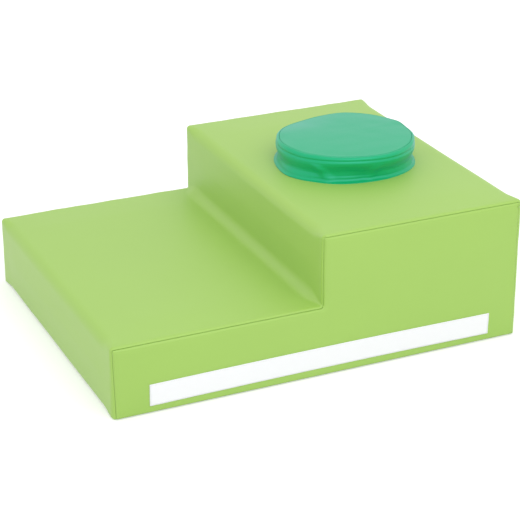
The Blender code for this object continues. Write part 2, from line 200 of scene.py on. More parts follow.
def fine_surface(name, colour, width, rough, fuzz=0.0, metallic=0.0, depth=0.82):
    """A surface with a fine random relief of a given width, matt unless it is metal; painted shade darkens
    its colour in the relief's dips, down to a share given by depth.
    """
    made, tree, shader, place = begin_material(
        name, Metallic=metallic, Sheen_Weight=fuzz, Sheen_Roughness=fuzz_spread
    )
    height = add(
        tree,
        "ShaderNodeTexNoise",
        {"Vector": place, "Scale": 1 / width, "Detail": 3.0, "Roughness": 0.65},
    ).outputs["Fac"]
    # Painted shade: the dips of the relief take this darker copy of the colour, as the bump's height mixes
    # the tones
    deep = tuple(c * depth for c in linear(colour))
    rough_range = {"To Min": rough - weave_smoothest, "To Max": rough + weave_roughest}
    relief_range = {"Strength": weave_relief, "Distance": width / 3}
    finish_shader(tree, shader, (height, deep, linear(colour)), height, rough_range, relief_range)
    return made


# Calendered with a matt top coat: a broad, soft shine that pales towards the far edges
lime_vinyl = coated_fabric(
    "lime_coated_fabric",
    "#9CC74B",
    0.52,
    Specular_IOR_Level=0.95,
    Sheen_Weight=0.26,
    Sheen_Roughness=veil_spread,
)

# The same cloth with a smoother coat: deep where it faces the eye, pale blue-green at a slant
teal_vinyl = coated_fabric(
    "teal_coated_fabric",
    "#00B068",
    0.36,
    Specular_IOR_Level=1.00,
    Specular_Tint=(*linear("#90D0F0"), 1),
    Sheen_Weight=0.40,
    Sheen_Roughness=veil_spread,
    Sheen_Tint=(*linear("#88A8F4"), 1),
)

# Polyester cloth dipped in a rubbery grip coat: dark and dull, with small dimples
base_cloth = fine_surface("non_slip_base_fabric", "#3E4440", 0.0016, 0.90, fuzz=0.1)

# Polyurethane foam cut with a blade: its open cells leave a chalky, pitted face
foam_cells = fine_surface("open_cell_foam", "#E4DCBE", 0.0014, 0.95)

# Nylon knitted into fine loops: they scatter the light, so the strip looks white and soft
loop_pile = fine_surface("nylon_loop_pile", "#FBFCFF", 0.0007, 0.92, fuzz=0.25, depth=0.95)

# Polyester yarn, woven and dyed near the cover's colour: matt, with a slight nap
zip_weave = fine_surface("woven_zip_tape", "#7DB045", 0.0006, 0.88, fuzz=0.1)

# Plastic moulded in a polished tool: smooth, with small soft highlights
moulded_teeth = fine_surface("moulded_zip_teeth", "#76AA3F", 0.0010, 0.42)

# Zinc cast and tumbled: grey metal whose shine is a little uneven
cast_zinc = fine_surface("cast_zinc_slider", "#B9BABC", 0.0008, 0.34, metallic=1.0)

# Polyester filament twisted into thread, dyed or left white: a fine, dull line
sewing_thread = fine_surface("polyester_thread", "#88B94C", 0.0004, 0.70, fuzz=0.1)
white_thread = fine_surface("white_polyester_thread", "#EDEFF2", 0.0004, 0.70, fuzz=0.1)


def smooth_step(value):
    """An eased rise from 0 to 1."""
    held = min(max(value, 0.0), 1.0)
    return held * held * (3 - 2 * held)


def object_from(name, bm, finish, body="climber"):
    """Turns a bmesh into a smooth-shaded piece that rides on a body."""
    mesh = bpy.data.meshes.new(name)
    bm.to_mesh(mesh)
    bm.free()
    mesh.shade_smooth()
    mesh.materials.append(finish)
    piece = bpy.data.objects.new(name, mesh)
    bpy.context.scene.collection.objects.link(piece)
    if body:
        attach(piece, body)
    return piece


# The side outline of the cover, walked from the turned-under edge at the low end over the tread,
# riser and top to the far end. A station is a place in the side view and the way the cover faces there.


def corner_stations(corner, coming, going, outer_radius, inner_radius):
    """Stations round one corner of the outline."""
    out_before = Vector((-coming[1], coming[0]))
    out_after = Vector((-going[1], going[0]))
    turns_right = coming[0] * going[1] - coming[1] * going[0] < 0
    side = 1 if turns_right else -1
    radius = outer_radius if turns_right else inner_radius
    centre = corner + radius * (going - coming)
    stations = []
    for step in range(corner_steps + 1):
        angle = step / corner_steps * pi / 2
        facing = out_before * cos(angle) + out_after * sin(angle)
        stations.append((centre + side * radius * facing, facing))
    return stations


def run_stations(start, end, count):
    """Stations along a straight run between two corners."""
    along = (end - start).normalized()
    facing = Vector((-along[1], along[0]))
    return [(start.lerp(end, step / count), facing) for step in range(1, count)]


outline_corners = [
    Vector((low_x, 0)),
    Vector((low_x, tread_height)),
    Vector((riser_x, tread_height)),
    Vector((riser_x, platform_height)),
    Vector((far_x, platform_height)),
    Vector((far_x, 0)),
]


def side_outline(outer_radius, inner_radius):
    """The closed outline with as many stations whatever its radii are."""
    rounds = []
    for index, corner in enumerate(outline_corners):
        before = outline_corners[index - 1]
        after = outline_corners[(index + 1) % len(outline_corners)]
        coming = (corner - before).normalized()
        going = (after - corner).normalized()
        rounds.append(corner_stations(corner, coming, going, outer_radius, inner_radius))
    under = edge_radius_between + turn_under
    outline = [(Vector((low_x + under, 0)), Vector((0, -1)))]
    for index, stations in enumerate(rounds):
        outline += stations
        if index + 1 < len(rounds):
            length = (outline_corners[index + 1] - outline_corners[index]).length
            count = ceil(length / station_spacing)
            outline += run_stations(stations[-1][0], rounds[index + 1][0][0], count)
    outline.append((Vector((far_x - under, 0)), Vector((0, -1))))
    return outline


def settled(height):
    """Height above the floor of a point of the cover: the block's weight flattens its lowest edges."""
    return height * (settled_share + (1 - settled_share) * smooth_step(height / settled_reach))


def section_point(station, turn, buried, side):
    """A point of the cover where its rounding to the front or back has turned by an angle, and the
    direction that faces out there. Buried is its depth under the cover's face."""
    place, facing = station
    rounding = seam_rounding - buried
    inset = buried + rounding * (1 - cos(turn))
    y = middle_y + side * (half_depth - seam_rounding + rounding * sin(turn))
    point = Vector((place[0] - facing[0] * inset, y, place[1] - facing[1] * inset))
    out = Vector((facing[0] * cos(turn), side * sin(turn), facing[1] * cos(turn)))
    return point, out


# How far round the front rounding the seam lies on the upright edges: at the floor and at the top
front_seam_turns = (
    (low_x, radians(58), radians(41), tread_height),
    (riser_x, radians(31), radians(31), platform_height),
    (far_x, radians(64), radians(82), platform_height),
)


def seam_turn_at(station, side):
    """Angle of the rounding at which the seam lies. It is half way round, but the front panel was cut
    a little unevenly, so that its upright seams lie nearer to the one face or the other."""
    place, facing = station
    if side > 0:
        return seam_turn
    edge = min(front_seam_turns, key=lambda entry: abs(entry[0] - place[0]))
    upright = edge[1] + (edge[2] - edge[1]) * min(max(place[1] / edge[3], 0.0), 1.0)
    return seam_turn + (upright - seam_turn) * smooth_step(abs(facing[0]))


def roll_depth(station, depth):
    """Depth of the seam's groove, which the fabric's pull closes more on the upright edges."""
    return depth * (1 - (1 - upright_roll_share) * smooth_step(abs(station[1][0])))


def roll_rows():
    """Distances from the seam and depths of the rows where a panel's edge rolls into its seam."""
    rows = []
    for step in range(roll_steps):
        angle = pi / 2 * (roll_steps - step) / roll_steps
        rows.append((seam_roll * (1 - sin(angle)), seam_roll * (1 - cos(angle))))
    return [(0.0, seam_allowance)] + rows


def outline_gap(x, z):
    """Distance from a point of the side view to the nearest of the outline's straight runs."""
    nearest = 1.0
    point = Vector((x, z))
    for index, start in enumerate(outline_corners):
        end = outline_corners[(index + 1) % len(outline_corners)]
        along = end - start
        share = min(max((point - start).dot(along) / along.length_squared, 0.0), 1.0)
        nearest = min(nearest, (start + along * share - point).length)
    return nearest


def relief(point, out, seam_distance):
    """How far the cover stands out at a point: it swells over the faces, stands in a low ridge where
    the seam allowance lies under it, puckers beside the seams, and wanders gently all over."""
    in_side = smooth_step(abs(out.y) * 2 - 1)
    over_face = min(point.x - low_x, far_x - point.x, abs(point.x - riser_x))
    if abs(out.x) > upright_facing:
        over_face = min(point.z, abs(point.z - tread_height), abs(platform_height - point.z))
    from_ends = outline_gap(point.x, point.z) if in_side > 0.5 else max(over_face, 0.0)
    swell = face_swell * smooth_step(from_ends / swell_reach)
    if in_side <= 0.5:
        swell *= smooth_step((half_depth - abs(point.y - middle_y)) / swell_reach)
    ridge = ridge_height * smooth_step(seam_distance / (ridge_reach / 3))
    ridge *= 1 - smooth_step((seam_distance - ridge_reach / 2) / (ridge_reach / 2))
    wave = noise.noise(point / pucker_spacing)
    pucker = pucker_height * wave * (1 - smooth_step(seam_distance / pucker_reach))
    wander = wander_height * noise.noise(point / wander_spacing + wander_start)
    return swell + ridge + pucker + wander


def grid_faces(bm, grid, closed):
    """Quads between neighbouring rows of vertices."""
    for row, following in zip(grid, grid[1:]):
        count = len(row) if closed else len(row) - 1
        for index in range(count):
            ahead = (index + 1) % len(row)
            bm.faces.new((row[index], row[ahead], following[ahead], following[index]))


def skin_of(bm, rows, closed):
    """A skin of quads through rows of points, and its rows of vertices."""
    grid = [[bm.verts.new(point) for point in row] for row in rows]
    grid_faces(bm, grid, closed)
    return grid


def lifted(point, out, seam_distance):
    """The point moved out by the cover's relief, and kept off the floor."""
    moved = point + out * relief(point, out, seam_distance)
    moved.z = settled(max(moved.z, 0.0))
    return moved


def slackness(distance):
    """Share of the way from the tight edge at a seam to the slack edge between the seams."""
    return smooth_step(distance / slack_reach)


def stations_at(distance):
    """The outline at a distance from the seam, where its corners are rounder than at the seam."""
    share = slackness(distance)
    outer = edge_radius_at_seam + (edge_radius_between - edge_radius_at_seam) * share
    inner = inner_radius_at_seam + (inner_radius_between - inner_radius_at_seam) * share
    return side_outline(outer, inner)


def rolled_rows(side, way):
    """Rows of a panel's edge that roll into its seam: way is 1 on the front or back panel, and -1 on
    the wrap panel, which lies at the other side of the seam."""
    rows = []
    for distance, depth in roll_rows():
        row = []
        for station in side_outline(edge_radius_at_seam, inner_radius_at_seam):
            turn = seam_turn_at(station, side) + way * (distance + seam_gap / 2) / seam_rounding
            point, out = section_point(station, turn, roll_depth(station, depth), side)
            row.append(lifted(point, out, distance))
        rows.append(row)
    return rows


def wrap_rows():
    """Rows of the wrap panel, which runs across the faces from its front seam to its back seam."""
    rows = []
    for side in (-1, 1):
        half = rolled_rows(side, -1)
        for step in range(1, rounding_steps + 1):
            share = step / rounding_steps
            row = []
            for station in stations_at(share * seam_rounding):
                edge = seam_turn_at(station, side) - (seam_roll + seam_gap / 2) / seam_rounding
                turn = edge * (1 - share)
                point, out = section_point(station, turn, 0, side)
                row.append(lifted(point, out, seam_roll + (edge - turn) * seam_rounding))
            half.append(row)
        flat = half_depth - seam_rounding
        count = ceil(flat / station_spacing)
        for step in range(1, count + (side < 0)):
            distance = seam_rounding + flat * step / count
            row = []
            for place, facing in stations_at(distance):
                y = middle_y + side * flat * (1 - step / count)
                out = Vector((facing[0], 0, facing[1]))
                row.append(lifted(Vector((place[0], y, place[1])), out, distance))
            half.append(row)
        rows += half if side < 0 else half[::-1]
    return rows


def thicken(piece, thickness):
    """Gives an open sheet its thickness, inwards from its outer face."""
    modifier = piece.modifiers.new("fabric_thickness", "SOLIDIFY")
    modifier.thickness = thickness
    modifier.offset = -1
    modifier.use_even_offset = False


def build_wrap():
    """The wrap panel, from the turned-under edge at the low end to the one at the far end."""
    bm = bmesh.new()
    skin_of(bm, wrap_rows(), closed=False)
    wrap = object_from("cover_wrap", bm, lime_vinyl)
    thicken(wrap, cover_thickness)
    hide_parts("cover_wrap_panel")


def inside_outline(x, z, margin):
    """Whether a point of the side view lies inside the outline by at least a margin."""
    top = platform_height if x > riser_x else tread_height
    inside = low_x < x < far_x and 0 < z < top
    return inside and outline_gap(x, z) > margin


zip_low = Vector((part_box("zip_bottom_stop")[0].x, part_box("zip_slider")[0].z))
zip_high = Vector((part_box("zip_upper_top_stop")[1].x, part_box("zip_slider")[1].z))
slot_margin = 0.0010
slot_steps = 60
slot_end_steps = 3


def slot_loop():
    """The zip's slot in the back panel, walked round once."""
    low = zip_low - Vector((slot_margin, slot_margin))
    high = zip_high + Vector((slot_margin, slot_margin))
    corners = [low, Vector((high.x, low.y)), high, Vector((low.x, high.y))]
    loop = []
    for index, corner in enumerate(corners):
        following = corners[(index + 1) % len(corners)]
        count = slot_steps if index % 2 == 0 else slot_end_steps
        loop += [corner.lerp(following, step / count) for step in range(count)]
    return loop


def in_slot(x, z, margin):
    """Whether a point of the side view lies within a margin of the zip's slot."""
    wide = slot_margin + margin
    return zip_low.x - wide < x < zip_high.x + wide and zip_low.y - wide < z < zip_high.y + wide


def build_side(name, side, node):
    """The front or back panel: its rim rolls into the seam, and its flat part is filled inside."""
    bm = bmesh.new()
    rows = rolled_rows(side, 1)
    for step in range(1, rounding_steps + 1):
        share = 1 - cos(seam_turn + (pi / 2 - seam_turn) * step / rounding_steps) / cos(seam_turn)
        outer_radius = edge_radius_at_seam + (rim_radius - edge_radius_at_seam) * share
        stations = side_outline(outer_radius, inner_radius_at_seam)
        row = []
        for station in stations:
            edge = seam_turn_at(station, side) + (seam_roll + seam_gap / 2) / seam_rounding
            turn = edge + (pi / 2 - edge) * step / rounding_steps
            point, out = section_point(station, turn, 0, side)
            row.append(lifted(point, out, seam_roll + (turn - edge) * seam_rounding))
        rows.append(row)
    grid = skin_of(bm, rows, closed=True)
    rim = [section_point(station, pi / 2, 0, side)[0] for station in stations]
    flat_points = [Vector((point.x, point.z)) for point in rim]
    edges = [(index, (index + 1) % len(rim)) for index in range(len(rim))]
    slot_start = len(flat_points)
    if side > 0:
        loop = slot_loop()
        flat_points += loop
        edges += [(slot_start + i, slot_start + (i + 1) % len(loop)) for i in range(len(loop))]
    steps_x = ceil((far_x - low_x) / station_spacing)
    steps_z = ceil(platform_height / station_spacing)
    for column in range(1, steps_x):
        for level in range(1, steps_z):
            x = low_x + (far_x - low_x) * (column + (level % 2) / 2) / steps_x
            z = platform_height * level / steps_z
            clear = inside_outline(x, z, seam_rounding + station_spacing * rim_clearance_share)
            if clear and not (side > 0 and in_slot(x, z, station_spacing * slot_clearance_share)):
                flat_points.append(Vector((x, z)))
    filled = delaunay_2d_cdt(flat_points, edges, [], 1, fill_tolerance)
    placed, _, triangles, origin, _, _ = filled
    outer = seam_arc_length()
    made = []
    y = middle_y + side * half_depth
    for index, flat in enumerate(placed):
        source = origin[index][0] if origin[index] else -1
        if 0 <= source < slot_start:
            made.append(grid[-1][source])
            continue
        point = Vector((flat.x, y, flat.y))
        from_slot = slot_distance(flat.x, flat.y) if side > 0 else 1.0
        distance = outer + outline_gap(flat.x, flat.y) - seam_rounding
        up = relief(point, Vector((0, side, 0)), distance) * smooth_step(from_slot / slot_fade)
        made.append(bm.verts.new((flat.x, y + side * up, settled(flat.y))))
    for corners in triangles:
        centre = sum((placed[i] for i in corners), Vector((0, 0))) / 3
        if not (side > 0 and in_slot(centre.x, centre.y, 0)):
            bm.faces.new([made[i] for i in corners])
    loose = [v for v in bm.verts if not v.link_faces]
    bmesh.ops.delete(bm, geom=loose, context="VERTS")
    bmesh.ops.recalc_face_normals(bm, faces=bm.faces)
    inward = sum(1 for f in bm.faces if f.normal.y * side < -flat_facing)
    if inward > len(bm.faces) / 2:
        bmesh.ops.reverse_faces(bm, faces=bm.faces)
    panel = object_from(name, bm, lime_vinyl)
    thicken(panel, cover_thickness)
    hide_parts(node)


def seam_arc_length():
    """Length of the rounding from the seam to where the front or back turns flat."""
    return (pi / 2 - seam_turn) * seam_rounding


def slot_distance(x, z):
    """Distance from a point of the side view to the zip's slot."""
    across = max(zip_low.x - slot_margin - x, x - zip_high.x - slot_margin, 0)
    up = max(zip_low.y - slot_margin - z, z - zip_high.y - slot_margin, 0)
    return hypot(across, up)


def build_base():
    """The non-slip base panel between the wrap panel's turned-under edges."""
    under = edge_radius_between + turn_under + seam_gap
    length = far_x - low_x - 2 * under
    count = ceil(length / station_spacing)
    floor_run = []
    for step in range(count + 1):
        x = far_x - under - length * step / count
        floor_run.append((Vector((x, 0)), Vector((0, -1))))
    bm = bmesh.new()
    rows = []
    for side in (-1, 1):
        half = []
        for distance, depth in roll_rows():
            turn = seam_turn - (distance + seam_gap / 2) / seam_rounding
            half.append([section_point(s, turn, depth, side)[0] for s in floor_run])
        edge = seam_turn - (seam_roll + seam_gap / 2) / seam_rounding
        for step in range(1, rounding_steps + 1):
            turn = edge * (1 - step / rounding_steps)
            half.append([section_point(s, turn, 0, side)[0] for s in floor_run])
        rows += half if side < 0 else half[::-1]
    for point in (point for row in rows for point in row):
        point.z = settled(max(point.z, 0.0))
    skin_of(bm, rows, closed=False)
    bm.normal_update()
    upward = sum(1 for face in bm.faces if face.normal.z > 0)
    if upward > len(bm.faces) / 2:
        bmesh.ops.reverse_faces(bm, faces=bm.faces)
    base = object_from("cover_base", bm, base_cloth)
    thicken(base, cover_thickness)
    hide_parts("cover_base_panel")


# Foam: its mesh, and how far its tight cover presses it in
foam_voxel = 0.008
foam_pressed_in = 0.0026
merge_reach = 0.00005


def remeshed(piece, voxel_size):
    """Gives a piece an even mesh of its own shape."""
    remesh = piece.modifiers.new("even_mesh", "REMESH")
    remesh.mode = "VOXEL"
    remesh.voxel_size = voxel_size


def pressed_in(piece, depth):
    """Moves the whole face of a foam piece in, as its tight cover does."""
    press = piece.modifiers.new("pressed_in", "DISPLACE")
    press.strength = -depth
    press.mid_level = 0


def build_foam(name, node):
    """A foam block pressed in a little by its tight cover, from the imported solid's own shape."""
    bm = bmesh.new()
    bm.from_mesh(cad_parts[node].data)
    bmesh.ops.remove_doubles(bm, verts=bm.verts, dist=merge_reach)
    bmesh.ops.recalc_face_normals(bm, faces=bm.faces)
    block = object_from(name, bm, foam_cells)
    remeshed(block, foam_voxel)
    pressed_in(block, foam_pressed_in)
    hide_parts(node)


# Cushion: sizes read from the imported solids, and the form of its cover
top_low, top_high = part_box("cushion_top_panel")
band_low, band_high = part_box("cushion_side_band")
cushion_middle = Vector(((top_low.x + top_high.x) / 2, (top_low.y + top_high.y) / 2, band_low.z))
seam_drawn_in = 0.0028
foot_spread = 0.0006
crown_settled = 0.0035
seam_radius = (top_high.x - top_low.x) / 2 - seam_drawn_in
foot_radius = (band_high.x - band_low.x) / 2 + foot_spread
seam_height = 0.0565
crown_height = top_high.z - band_low.z - seam_height - crown_settled
rim_roll = 0.0009
rim_roll_depth = 0.0014
rim_gap = 0.0003
foot_start = 0.0085
foot_flare_height = 0.0070
foot_edge = 0.0014
round_segments = 240
top_rings = 34
band_rings = 64
foot_steps = 6

# How far the side band stands out, by its depth under the seam: a rolled rim, a groove and a shoulder
# all round, then a waist and an apron on the front, and a wider waist at the sides
rim_profile = (
    (0.0, 0.0),
    (0.0012, 0.0022),
    (0.0028, 0.0040),
    (0.0050, 0.0052),
    (0.0075, 0.0056),
    (0.0095, 0.0051),
    (0.0106, 0.0045),
    (0.0116, 0.0050),
    (0.0134, 0.0062),
    (0.0160, 0.0068),
)
front_profile = rim_profile + (
    (0.0215, 0.0050),
    (0.0285, 0.0010),
    (0.0370, -0.0030),
    (0.0450, -0.0062),
    (0.0490, -0.0052),
)
side_profile = rim_profile + (
    (0.0220, 0.0062),
    (0.0290, 0.0040),
    (0.0350, 0.0016),
    (0.0400, 0.0010),
    (0.0480, 0.0036),
)
rim_depth = 0.0106
rim_lift = 0.0030
rim_lift_half_width = 60
profile_blur = 0.0007
front_angle = -111
front_half_width = 38

# Slack places of the rim, read from the photograph: angle, half width, push outwards and lift
slack_places = (
    (-111, 45, -0.0040, 0.0008),
    (108, 46, -0.0048, -0.0075),
    (68, 40, -0.0006, -0.0013),
    (148, 28, -0.0034, -0.0012),
    (-30, 14, -0.0012, 0.0),
    (-7, 17, -0.0024, 0.0),
    (9, 10, 0.0006, 0.0008),
    (215, 18, 0.0008, 0.0006),
)

# The foot is pulled in and out where it was sewn down: angle, half width and push outwards
foot_places = (
    (-88, 52, -0.0085),
    (-164, 28, 0.0060),
    (-16, 24, -0.0018),
    (65, 150, -0.0060),
)

# How much of the rim's slack the band loses on its way down, and how much the flaring foot keeps
band_slack_loss = 0.8
foot_slack_share = 0.2

# Folds of the side band: angle at half height, angle at the foot, half width and height of the ridge.
# A fold or pouch starts at a share of the way from the rim to the foot, and grows over another share.
band_folds = (
    (-139, -131, 8.0, 0.0040),
    (-90, -94, 8.0, 0.0032),
)
fold_start_share = 0.30
fold_growth_share = 0.35
pouch_start_share = 0.62
pouch_growth_share = 0.38
pouch_angle = -113
pouch_half_width = 24
pouch_push = 0.0050

# Slight unevenness of the cushion's cover, and how far apart its waves are
wrinkle_height = 0.0007
wrinkle_spacing = 0.042
wrinkle_start = (5, 2)

# Cloth simulation of the cushion: it starts with a lower crown, and swells to the full one
cloth_voxel = 0.006
cloth_pressure = 4.0
cloth_frames = 20
cloth_travel_limit = 0.0045
crown_left_to_cloth = 0.0020
sewn_reach = 0.0070
neighbours = 20
cushion_foam_inset = 0.0060


def apart(angle, centre):
    """Degrees between two angles, from 0 to 180."""
    return abs((angle - centre + 180) % 360 - 180)


def near(angle, centre, half_width):
    """1 at the centre of a stretch of the round, easing to 0 at its ends."""
    return 1 - smooth_step(apart(angle, centre) / half_width)


def rim_slack(angle):
    """How far the rim stands out and up at an angle where its cover is slack."""
    out = sum(push * near(angle, centre, width) for centre, width, push, _ in slack_places)
    up = sum(lift * near(angle, centre, width) for centre, width, _, lift in slack_places)
    return out, up


def band_fold(angle, share):
    """How far the side band stands out at an angle, a share of the way from its rim to its foot."""
    low = smooth_step((share - fold_start_share) / fold_growth_share)
    out = 0.0
    for middle_angle, foot_angle, width, height in band_folds:
        centre = middle_angle + (foot_angle - middle_angle) * (share - 0.5) * 2
        out += height * low * near(angle, centre, width)
    pouch = smooth_step((share - pouch_start_share) / pouch_growth_share)
    return out + pouch_push * (pouch * near(angle, pouch_angle, pouch_half_width))


def foot_pull(angle):
    """How far the foot lies outside its circle at an angle."""
    return sum(push * near(angle, centre, width) for centre, width, push in foot_places)


def along_profile(profile, depth):
    """Reads a profile between its points."""
    for (start, first), (end, second) in zip(profile, profile[1:]):
        if depth <= end:
            return first + (second - first) * max(depth - start, 0.0) / (end - start)
    return profile[-1][1]


def band_stands_out(angle, depth):
    """How far the side band stands out from its seam, softened over a short way. Its rolled rim is
    less deep at the front."""
    rim = rim_depth - rim_lift * near(angle, front_angle, rim_lift_half_width)
    place = depth * rim_depth / rim if depth < rim else depth + rim_depth - rim
    front = near(angle, front_angle, front_half_width)
    total = 0.0
    for shift in (-profile_blur, 0, profile_blur):
        at_front = along_profile(front_profile, place + shift)
        at_side = along_profile(side_profile, place + shift)
        total += at_side + (at_front - at_side) * front
    return total / 3


def ring_of(radius_at, height, lift_share=0.0):
    """A ring of points about the cushion's middle, whose radius depends on the angle."""
    ring = []
    for step in range(round_segments):
        angle = 360 * step / round_segments
        outward = Vector((cos(radians(angle)), sin(radians(angle)), 0))
        far = radius_at(angle)
        up = rim_slack(angle)[1] * lift_share
        place = outward * far + Vector((*wrinkle_start, height))
        uneven = wrinkle_height * noise.noise(place / wrinkle_spacing)
        lifted_to = height + up + uneven * height / seam_height
        ring.append(cushion_middle + outward * (far + uneven) + Vector((0, 0, lifted_to)))
    return ring


def around(radius, height, slack_share):
    """A ring moved by a share of the slack of the rim."""
    return ring_of(lambda angle: radius + rim_slack(angle)[0] * slack_share, height, slack_share)


def cushion_top_rows(crown):
    """Rings of the crowned top, from the edge turned down into its seam to the middle."""
    edge = seam_radius - rim_gap / 2
    rows = [around(edge, seam_height - seam_allowance, 1.0)]
    for step in range(roll_steps):
        angle = pi / 2 * step / roll_steps
        inward = rim_roll * (1 - cos(angle))
        rows.append(around(edge - inward, seam_height - rim_roll_depth * (1 - sin(angle)), 1.0))
    for ring in range(top_rings):
        share = 1 - ring / top_rings
        rise = crown * (1 - share**2)
        rows.append(around((edge - rim_roll) * share, seam_height + rise, share**3))
    return rows


def cushion_band_rows():
    """Rings of the side band: from its seam over the full rim and the waist to the lip of its foot."""
    edge = seam_radius + rim_gap / 2
    rows = [around(edge, seam_height - seam_allowance, 1.0)]
    for step in range(roll_steps):
        angle = pi / 2 * step / roll_steps
        outward = rim_roll * (1 - cos(angle))
        rows.append(around(edge + outward, seam_height - rim_roll_depth * (1 - sin(angle)), 1.0))
    for step in range(1, band_rings + 1):
        share = step / band_rings
        depth = (seam_height - foot_start) * share

        def radius_at(angle):
            kept = 1 - share * band_slack_loss
            slack = rim_slack(angle)[0] * kept + foot_pull(angle) * share**2
            return edge + rim_roll + band_stands_out(angle, depth) + slack + band_fold(angle, share)

        rows.append(ring_of(radius_at, seam_height - depth, 1 - share))
    for step in range(1, foot_steps + 1):
        turn = pi / 2 * step / foot_steps
        height = foot_start - foot_flare_height * sin(turn)

        def radius_at(angle):
            last = edge + rim_roll + band_stands_out(angle, seam_height - foot_start)
            folded = band_fold(angle, 1.0) * cos(turn)
            reach = last + (foot_radius - last) * (1 - cos(turn)) + folded
            return reach + rim_slack(angle)[0] * foot_slack_share + foot_pull(angle)

        rows.append(ring_of(radius_at, height))
    rows.append(ring_of(radius_at, foot_edge / 2))
    return rows


def closed_cushion(name, rows, finish, slot=None):
    """A closed mesh in the cushion's shape, remeshed evenly."""
    bm = bmesh.new()
    grid = skin_of(bm, rows, closed=True)
    bm.faces.new(grid[0])
    bm.faces.new(grid[-1])
    bmesh.ops.recalc_face_normals(bm, faces=bm.faces)
    shape = object_from(name, bm, finish, body="climber" if slot else None)
    remeshed(shape, cloth_voxel)
    return shape


def swell_cushion(rows, pieces):
    """Inflates a copy of the cushion as cloth that is sewn along its seam and round its foot, and
    moves the pieces with it, no point further than the travel limit."""
    cloth = closed_cushion("cushion_cloth", rows, teal_vinyl)
    shaped = cloth.evaluated_get(bpy.context.evaluated_depsgraph_get())
    even = bpy.data.meshes.new_from_object(shaped)
    cloth.modifiers.clear()
    cloth.data = even
    starts = [vertex.co.copy() for vertex in even.vertices]
    held = []
    for index, start in enumerate(starts):
        off = start - cushion_middle
        near_rim = hypot(off.x, off.y) > seam_radius - sewn_reach * 2
        at_seam = abs(off.z - seam_height) < sewn_reach and near_rim
        if off.z < foot_start or at_seam:
            held.append(index)
    cloth.vertex_groups.new(name="sewn").add(held, 1.0, "REPLACE")
    inflate = cloth.modifiers.new("inflate", "CLOTH")
    inflate.settings.use_pressure = True
    inflate.settings.uniform_pressure_force = cloth_pressure
    inflate.settings.effector_weights.gravity = 0
    inflate.settings.vertex_group_mass = "sewn"
    inflate.point_cache.frame_end = cloth_frames
    for number in range(1, cloth_frames + 1):
        bpy.context.scene.frame_set(number)
    swollen = cloth.evaluated_get(bpy.context.evaluated_depsgraph_get()).to_mesh()
    moves = [vertex.co - start for vertex, start in zip(swollen.vertices, starts)]
    tree = kdtree.KDTree(len(starts))
    for index, start in enumerate(starts):
        tree.insert(start, index)
    tree.balance()
    for piece in pieces:
        for vertex in piece.data.vertices:
            close = tree.find_n(vertex.co, neighbours)
            move = sum((moves[index] for _, index, _ in close), Vector()) / len(close)
            vertex.co += move / (1 + move.length / cloth_travel_limit)
    bpy.data.objects.remove(cloth)
    bpy.context.scene.frame_set(1)


def build_cushion():
    """The round cushion: its foam, its crowned top, and its side band with a turned-out foot."""
    crown = crown_height - crown_left_to_cloth
    top_rows = cushion_top_rows(crown)
    band_rows = cushion_band_rows()
    shell_rows = top_rows[:0:-1] + band_rows[2:]
    foam = closed_cushion("cushion_foam", shell_rows, foam_cells, slot="foam")
    pressed_in(foam, cushion_foam_inset)
    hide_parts("cushion_foam_disc")
    pieces = []
    for name, rows, node in (
        ("cushion_top", top_rows, "cushion_top_panel"),
        ("cushion_side", band_rows[::-1], "cushion_side_band"),
    ):
        bm = bmesh.new()
        grid = skin_of(bm, rows, closed=True)
        if name == "cushion_top":
            bm.faces.new(grid[-1])
        piece = object_from(name, bm, teal_vinyl)
        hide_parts(node)
        pieces.append(piece)
    swell_cushion(shell_rows, pieces)
    for piece in pieces:
        thicken(piece, cover_thickness)


# Stitching and zip tapes
stitch_pitch = 0.0036
stitch_length = 0.0029
stitch_rings = 5
thread_radius = 0.00030
thread_sides = 6
strip_stitch_inset = 0.0022
zip_stitch_offset = 0.0045
stitch_arch = 1.5
stitch_bed = 0.6
tape_rows = 6
tape_wave = 0.0003
tape_wave_length = 0.05
tape_wave_width = 0.02
tape_wave_start = 4
tape_mesh_spacing = 0.004

# Strip: it was sewn on a little bowed, its ends lower than its middle
strip_sag = 0.0018
strip_drop = 0.0004
strip_rise = 0.0015
strip_thickness = 0.0012
strip_rows = 16
strip_stitch_runs = 12


def front_surface(x, z):
    """Where the front panel's face lies at a place of the side view."""
    distance = seam_arc_length() + outline_gap(x, z) - seam_rounding
    return front_y - relief(Vector((x, front_y, z)), Vector((0, -1, 0)), distance)


def sag_of_strip(x, start, end):
    """How far the strip hangs below its straight line at a place along it."""
    from_middle = (x - (start + end) / 2) / (end - start) * 2
    return strip_sag * from_middle**2 + strip_drop


def build_strip():
    """The hook-and-loop strip on the front."""
    low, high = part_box("front_loop_strip")
    bm = bmesh.new()
    along = ceil((high.x - low.x) / tape_mesh_spacing)
    rows = []
    for row in range(strip_rows + 1):
        z = low.z + (high.z - low.z) * row / strip_rows
        line = []
        for column in range(along + 1):
            x = low.x + (high.x - low.x) * column / along
            sag = sag_of_strip(x, low.x, high.x)
            line.append((x, front_surface(x, z - sag) - strip_rise, z - sag))
        rows.append(line)
    skin_of(bm, rows, closed=False)
    strip = object_from("front_strip", bm, loop_pile)
    thicken(strip, strip_thickness)
    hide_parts("front_loop_strip")


def back_surface(x, z):
    """Where the back panel's face lies at a place of the side view."""
    point = Vector((x, middle_y + half_depth, z))
    distance = seam_arc_length() + outline_gap(x, z) - seam_rounding
    up = relief(point, Vector((0, 1, 0)), distance) * smooth_step(slot_distance(x, z) / slot_fade)
    return middle_y + half_depth + up


